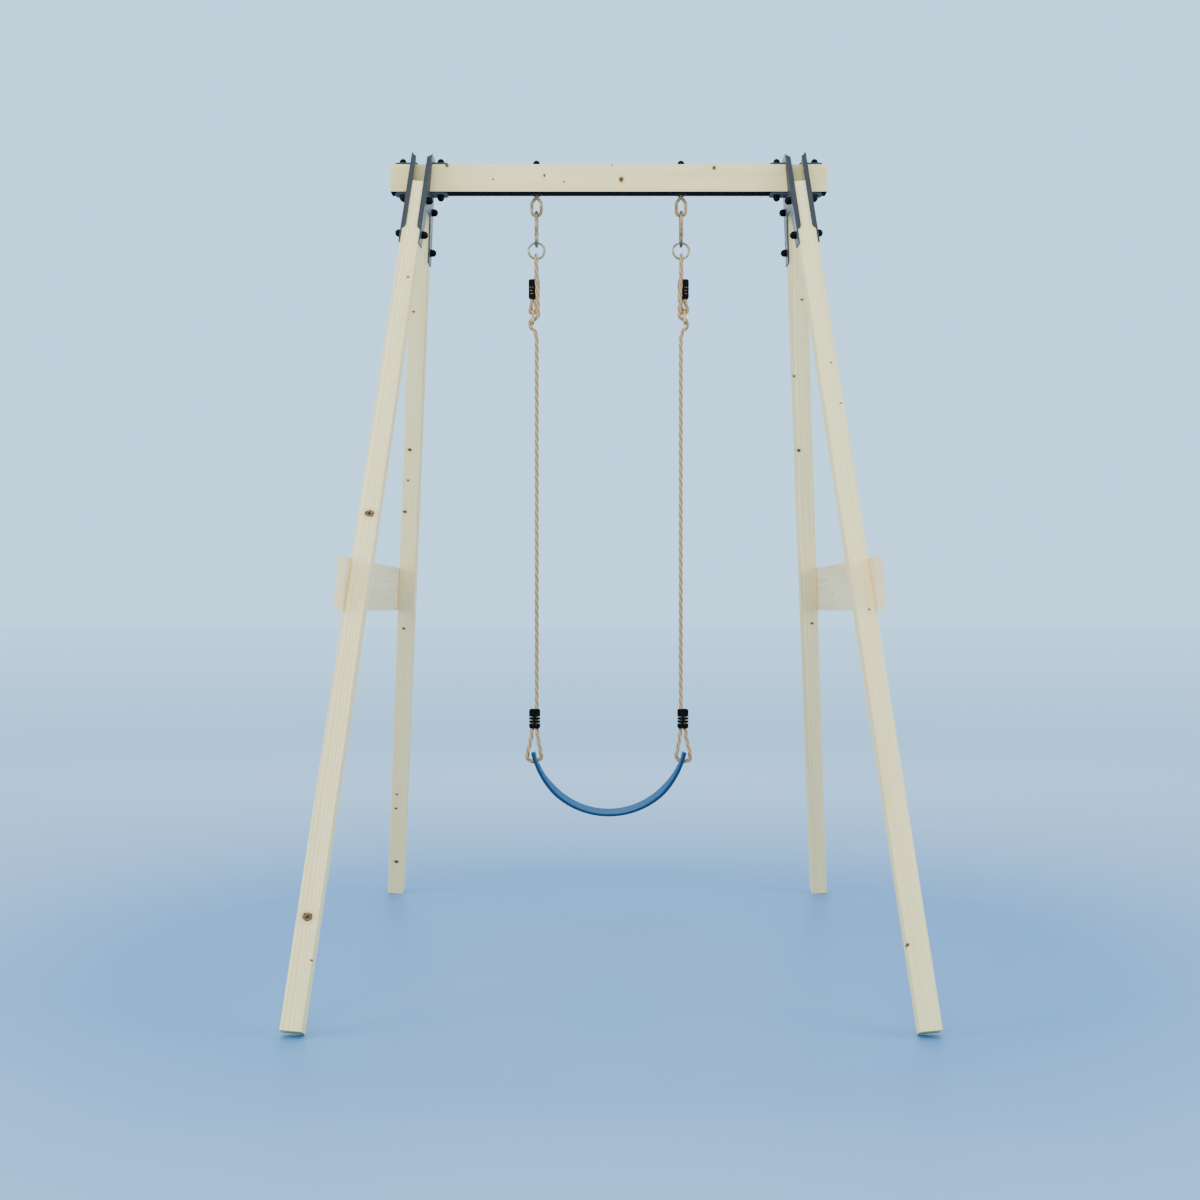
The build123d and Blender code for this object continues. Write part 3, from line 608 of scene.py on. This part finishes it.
POST_TONES = {"pale": (255, 227, 162), "warm": (250, 214, 152), "late": (206, 170, 112), "rings": 0.42}
LEG_HEARTS = {
    "front_left": (0.055, -0.085, 0.0),
    "front_right": (-0.085, -0.060, 0.0),
    "rear_left": (-0.070, 0.080, 0.0),
    "rear_right": (0.040, 0.095, 0.0),
}
LEG_KNOTS = {
    "front_left": [
        (1.455, -0.004, 0.012),
        (0.290, 0.000, 0.012),
        (2.260, -0.013, 0.004),
        (0.180, -0.026, 0.003),
    ],
    "front_right": [
        (1.955, -0.010, 0.003),
        (1.815, -0.019, 0.003),
        (1.155, -0.008, 0.003),
        (0.220, 0.028, 0.005),
    ],
    "rear_left": [
        (2.245, 0.012, 0.004),
        (1.770, 0.008, 0.006),
        (1.660, 0.010, 0.004),
        (1.545, 0.016, 0.006),
        (1.105, 0.005, 0.005),
        (0.430, 0.007, 0.004),
        (0.370, 0.009, 0.005),
        (0.140, 0.000, 0.007),
    ],
    "rear_right": [
        (2.285, -0.009, 0.004),
        (2.030, 0.027, 0.005),
        (1.770, 0.019, 0.006),
        (1.125, -0.006, 0.005),
    ],
}
for mount in frame["record"]["mounts"]:
    corner = mount["name"].removeprefix("foot_")
    up = -Vector(mount["axis"]).normalized()
    sideways = Vector((0.0, 1.0, 0.0)).cross(up).normalized()
    face = sideways.cross(up)
    finish = timber_finish(
        "spruce_leg_" + corner, mount["pos_m"], up, face, LEG_HEARTS[corner], POST_TONES, LEG_KNOTS[corner]
    )
    give(finish, "leg_" + corner)
    print(finish.name, "faces", [round(part, 2) for part in face], "with", len(LEG_KNOTS[corner]), "knots")

# %% [markdown]
# ## The beam and the brace boards
# The beam is the same spruce on its side, with more knots on its front. Its underside, seen between the
# brackets, is painted near black as shade, since little light reaches it from below; this is a change of
# colour by height and not another piece. The brace boards are sawn from wider and slightly redder stock, so
# they get warmer tones and fainter rings.

# %% Beam and board finishes
BEAM_TONES = {"pale": (255, 227, 162), "warm": (244, 214, 142), "late": (208, 166, 100), "rings": 0.38}
BOARD_TONES = {"pale": (255, 224, 170), "warm": (250, 212, 154), "late": (214, 180, 124), "rings": 0.32}
BEAM_KNOTS = [
    (-0.515, 0.040, 0.006),
    (-0.368, -0.005, 0.003),
    (-0.205, 0.008, 0.004),
    (-0.142, -0.012, 0.003),
    (0.010, 0.042, 0.003),
    (0.040, -0.005, 0.008),
    (0.335, 0.032, 0.006),
]
# Heights where the painted shade on the beam's underside starts and is full.
UNDERSIDE_SHADE_EDGE = 0.0012
UNDERSIDE_SHADE_FULL = 0.0004

beam_low, beam_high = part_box("beam")
beam_finish = timber_finish(
    "spruce_beam",
    (beam_low + beam_high) / 2,
    Vector((1.0, 0.0, 0.0)),
    Vector((0.0, -1.0, 0.0)),
    (-0.075, 0.050, 0.0),
    BEAM_TONES,
    BEAM_KNOTS,
)
beam_shader = beam_finish.node_tree.nodes["Principled BSDF"]
timber_colour = beam_shader.inputs["Base Color"].links[0].from_socket
height = beam_finish.node_tree.nodes.new("ShaderNodeSeparateXYZ")
join(beam_finish, height.inputs[0], own_place(beam_finish))
# Painted shade: the underside is coloured near black and made fully rough, standing in for the shade under
# the beam.
painted_underside_shade = ease(beam_finish, height.outputs["Z"], beam_low.z + UNDERSIDE_SHADE_EDGE, beam_low.z + UNDERSIDE_SHADE_FULL)
underside_shade_patches = mottle(beam_finish, own_place(beam_finish), 40.0)
painted_shade_colour = blend(beam_finish, underside_shade_patches, paint(2, 2, 1), paint(6, 6, 4))
feed(beam_finish, "Base Color", blend(beam_finish, painted_underside_shade, timber_colour, painted_shade_colour))
timber_roughness = beam_shader.inputs["Roughness"].links[0].from_socket
feed(beam_finish, "Roughness", calc(beam_finish, "MAXIMUM", timber_roughness, painted_underside_shade))
give(beam_finish, "beam")

for side, heart, knots in (
    ("left", (0.020, -0.070, 0.0), [(-0.150, 0.030, 0.006), (0.260, -0.040, 0.005)]),
    ("right", (-0.035, -0.060, 0.0), [(0.190, 0.020, 0.006)]),
):
    low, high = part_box("brace_board_" + side)
    inward = Vector((1.0 if side == "left" else -1.0, 0.0, 0.0))
    finish = timber_finish(
        "sawn_board_" + side, (low + high) / 2, Vector((0.0, 1.0, 0.0)), inward, heart, BOARD_TONES, knots
    )
    give(finish, "brace_board_" + side)
    print(finish.name, "is", round(high.y - low.y, 3), "m long")

# %% [markdown]
# ## Coated steel plates
# The bracket plates are cut and bent from sheet and powder coated in slate grey. Powder melts into a skin
# that is not quite flat, so the finish has the small waves of orange peel under an even satin gloss, with
# faint cloudiness.

# %% Bracket coat
bracket_coat = new_finish("slate_powder_coat", 0.5, metallic=0.0, specular=0.2)
coat_spot = own_place(bracket_coat)
coat_clouds = mottle(bracket_coat, coat_spot, 18.0, 3.0)
coat_colour = blend(bracket_coat, coat_clouds, paint(46, 44, 46), paint(57, 55, 57))
coat_dust = ease(bracket_coat, mottle(bracket_coat, coat_spot, 420.0, 4.0, 0.7), 0.62, 0.8, 0.0, 0.25)
feed(bracket_coat, "Base Color", blend(bracket_coat, coat_dust, coat_colour, paint(86, 92, 104)))
feed(bracket_coat, "Roughness", ease(bracket_coat, coat_clouds, 0.3, 0.7, 0.46, 0.58))
orange_peel = mottle(bracket_coat, coat_spot, 520.0, 1.0)
feed(bracket_coat, "Normal", relief(bracket_coat, orange_peel, 0.0002, 0.35))
give(bracket_coat, "bracket_outer_left", "bracket_outer_right", "bracket_inner_left", "bracket_inner_right")
print("bracket coat has", len(bracket_coat.node_tree.nodes), "nodes")

# %% [markdown]
# ## Zinc and bare screws
# Hooks, snap hooks, rings and buckles are steel wire with a passivated zinc skin. The bath leaves warm and
# cool patches, so one recipe blends two tones by a slow pattern and breaks the gloss with a fine one. It is
# used four times with other tones: brown gold on the hooks, paler on the rings, brighter gold on the
# buckles, plain on bolts.

# %% Zinc finishes
ZINCS = {
    "brown_zinc": ((158, 126, 88), (112, 86, 58), 0.4, 0.8),
    "pale_zinc": ((166, 150, 118), (120, 106, 80), 0.34, 0.85),
    "gold_zinc": ((206, 168, 98), (168, 126, 66), 0.32, 0.85),
    "plain_zinc": ((176, 178, 176), (140, 144, 146), 0.34, 0.9),
}
ZINC_PIECES = {
    "brown_zinc": [
        "hook_left",
        "hook_right",
        "snap_hook_left",
        "snap_hook_right",
        "gate_left",
        "gate_right",
    ],
    "pale_zinc": ["ring_left", "ring_right", "seat_eyelets"],
    "gold_zinc": ["adjuster_left", "adjuster_right"],
    "plain_zinc": [
        "gate_pin_left",
        "gate_pin_right",
        "leg_bolts",
        "leg_bolt_nuts",
        "beam_bolts",
        "beam_bolt_nuts",
        "hook_nuts",
        "brace_screws",
    ],
}


def zinc_finish(name, light, dark, gloss, metal):
    """Passivated zinc: two slow tones, fine scratches and small pits."""
    made = new_finish(name, gloss, metallic=metal)
    spot = own_place(made)
    slow = mottle(made, spot, 55.0, 3.0, 0.6)
    fine = mottle(made, spot, 1400.0, 2.0)
    colour = blend(made, ease(made, slow, 0.35, 0.65), paint(*light), paint(*dark))
    colour = blend(made, ease(made, fine, 0.6, 0.8, 0.0, 0.3), colour, paint(96, 84, 70))
    feed(made, "Base Color", colour)
    feed(made, "Roughness", ease(made, slow, 0.3, 0.7, gloss - 0.06, gloss + 0.1))
    feed(made, "Normal", relief(made, fine, 0.0001, 0.3))
    return made


for name, (light, dark, gloss, metal) in ZINCS.items():
    give(zinc_finish(name, light, dark, gloss, metal), *ZINC_PIECES[name])
print("zinc finishes", list(ZINCS))

# %% [markdown]
# ## Moulded black plastic
# The dome caps, hook caps and rope clamps are injection moulded. Black plastic is never quite black: it has
# a fine spark-eroded grain, a slight bloom where it was handled, and a satin gloss that shows the ribs.

# %% Black plastic and dark washers
moulded_black = new_finish("moulded_black", 0.5, specular=0.06)
black_spot = own_place(moulded_black)
bloom = mottle(moulded_black, black_spot, 60.0, 3.0)
feed(moulded_black, "Base Color", blend(moulded_black, bloom, paint(5, 4, 3), paint(11, 10, 9)))
feed(moulded_black, "Roughness", ease(moulded_black, bloom, 0.3, 0.7, 0.44, 0.6))
spark_grain = mottle(moulded_black, black_spot, 1600.0, 1.0)
feed(moulded_black, "Normal", relief(moulded_black, spark_grain, 0.0001, 0.4))
give(moulded_black, "leg_bolt_caps", "beam_bolt_caps", "hook_caps")
give(moulded_black, "upper_clamp_left", "upper_clamp_right", "lower_clamp_left", "lower_clamp_right")

dark_washer = new_finish("dark_washer", 0.7, metallic=0.0, specular=0.1)
washer_spot = own_place(dark_washer)
washer_clouds = mottle(dark_washer, washer_spot, 80.0, 3.0)
feed(dark_washer, "Base Color", blend(dark_washer, washer_clouds, paint(12, 12, 13), paint(22, 22, 23)))
feed(dark_washer, "Normal", relief(dark_washer, mottle(dark_washer, washer_spot, 1200.0), 0.0001, 0.3))
give(dark_washer, "hook_washers")
print("black plastic on the caps and clamps, black paint on the washers")

# %% [markdown]
# ## Rope yarn
# Each strand of the rope is a twist of thin yarns, and the yarns lie nearly straight along the rope, so on
# a strand they run at a slant. The strand map gives the place round and along each strand. Yarns are
# stripes on that map with painted shade in the gaps between them, the inside of each strand, where it meets
# the other strands, is painted darker as shade, the yarn tone changes in random darker patches, and fine
# fibres stand off the surface.

# %% Rope finish
YARNS = 9
YARN_SLANT = 1.5
# Tones of the yarn: the gap and inside tones are painted shade for the gaps between yarns and the grooves
# between strands.
ROPE_TONES = {
    "yarn": (204, 164, 116),
    "darker_patch": (184, 140, 92),
    "yarn_gap_shade": (126, 92, 58),
    "inside": (104, 72, 44),
    "fuzz": (222, 198, 158),
}

rope_finish = new_finish("laid_rope_yarn", 0.78, specular=0.25)
strand_map = rope_finish.node_tree.nodes.new("ShaderNodeUVMap")
strand_map.uv_map = "strand_map"
parts = rope_finish.node_tree.nodes.new("ShaderNodeSeparateXYZ")
join(rope_finish, parts.inputs[0], strand_map.outputs[0])
around, along = parts.outputs["X"], parts.outputs["Y"]
slanted = calc(rope_finish, "ADD", around, calc(rope_finish, "MULTIPLY", along, YARN_SLANT))
yarn_wave = calc(rope_finish, "SINE", calc(rope_finish, "MULTIPLY", slanted, math.pi * YARNS))
yarn_height = calc(rope_finish, "ABSOLUTE", yarn_wave)
facing_out = calc(rope_finish, "COSINE", calc(rope_finish, "MULTIPLY", around, 2 * math.pi))
fibre_spot = own_place(rope_finish)
tone_patches = mottle(rope_finish, fibre_spot, 90.0, 3.0, 0.6)
fuzz_spot = calc_vector(rope_finish, "MULTIPLY", fibre_spot, (1.0, 1.0, 0.3))
fuzz = mottle(rope_finish, fuzz_spot, 2600.0, 2.0)
# The yarn tone changes in random darker patches.
rope_colour = blend(rope_finish, tone_patches, paint(*ROPE_TONES["yarn"]), paint(*ROPE_TONES["darker_patch"]))
# Painted shade: darker in the gaps between yarns and on the inside of each strand, where the strands meet.
for share, tone in (
    (ease(rope_finish, yarn_height, 0.45, 0.0, 0.0, 0.5), "yarn_gap_shade"),
    (ease(rope_finish, facing_out, 0.55, -0.2, 0.0, 0.9), "inside"),
    (ease(rope_finish, fuzz, 0.55, 0.8, 0.0, 0.3), "fuzz"),
):
    rope_colour = blend(rope_finish, share, rope_colour, paint(*ROPE_TONES[tone]))
feed(rope_finish, "Base Color", rope_colour)
yarn_relief = relief(rope_finish, yarn_height, 0.0005, 0.6)
feed(rope_finish, "Normal", relief(rope_finish, fuzz, 0.0003, 0.4, yarn_relief))
give(rope_finish, "laid_rope_left", "laid_rope_right")
print("rope finish has", len(rope_finish.node_tree.nodes), "nodes")

# %% [markdown]
# ## Blue rubber
# The belt is coloured through, with a fine leather grain from the mould. Its upper face is painted paler,
# as painted sheen and light, and the edges and the underside are painted darker as shade, so the distance
# from the middle of the arc picks the tone.

# %% Seat finish
UPPER_EDGE = 0.0030
UPPER_FULL = 0.0036
GRAIN_SCALE = 700.0

seat_finish = new_finish("blue_rubber", 0.7, specular=0.05)
seat_spot = own_place(seat_finish)
in_plane = calc_vector(seat_finish, "MULTIPLY", seat_spot, (1.0, 0.0, 1.0))
spoke = calc_vector(seat_finish, "SUBTRACT", in_plane, ARC_CENTRE)
reach = calc_vector(seat_finish, "LENGTH", spoke)
# Painted light: the upper face gets a paler, lit blue as sheen, the edges and the underside a darker,
# shaded blue.
lit_upper_share = ease(seat_finish, reach, ARC_RADIUS - UPPER_EDGE, ARC_RADIUS - UPPER_FULL)
seat_patches = mottle(seat_finish, seat_spot, 14.0, 3.0)
shaded_edge_blue = blend(seat_finish, seat_patches, paint(26, 48, 74), paint(30, 54, 82))
lit_upper_blue = blend(seat_finish, seat_patches, paint(42, 84, 120), paint(48, 92, 128))
seat_colour = blend(seat_finish, lit_upper_share, shaded_edge_blue, lit_upper_blue)
cells = seat_finish.node_tree.nodes.new("ShaderNodeTexVoronoi")
cells.feature = "DISTANCE_TO_EDGE"
cells.inputs["Scale"].default_value = GRAIN_SCALE
join(seat_finish, cells.inputs["Vector"], seat_spot)
crease = ease(seat_finish, cells.outputs["Distance"], 0.0, 0.12)
# Painted shade: the creases of the grain are darkened a little.
grain_crease_shade = ease(seat_finish, crease, 1.0, 0.0, 0.0, 0.18)
seat_colour = blend(seat_finish, grain_crease_shade, seat_colour, paint(26, 54, 86))
feed(seat_finish, "Base Color", seat_colour)
feed(seat_finish, "Roughness", ease(seat_finish, seat_patches, 0.3, 0.7, 0.66, 0.78))
feed(seat_finish, "Normal", relief(seat_finish, crease, 0.0003, 0.5))
give(seat_finish, "belt_seat")
print("seat finish has", len(seat_finish.node_tree.nodes), "nodes")
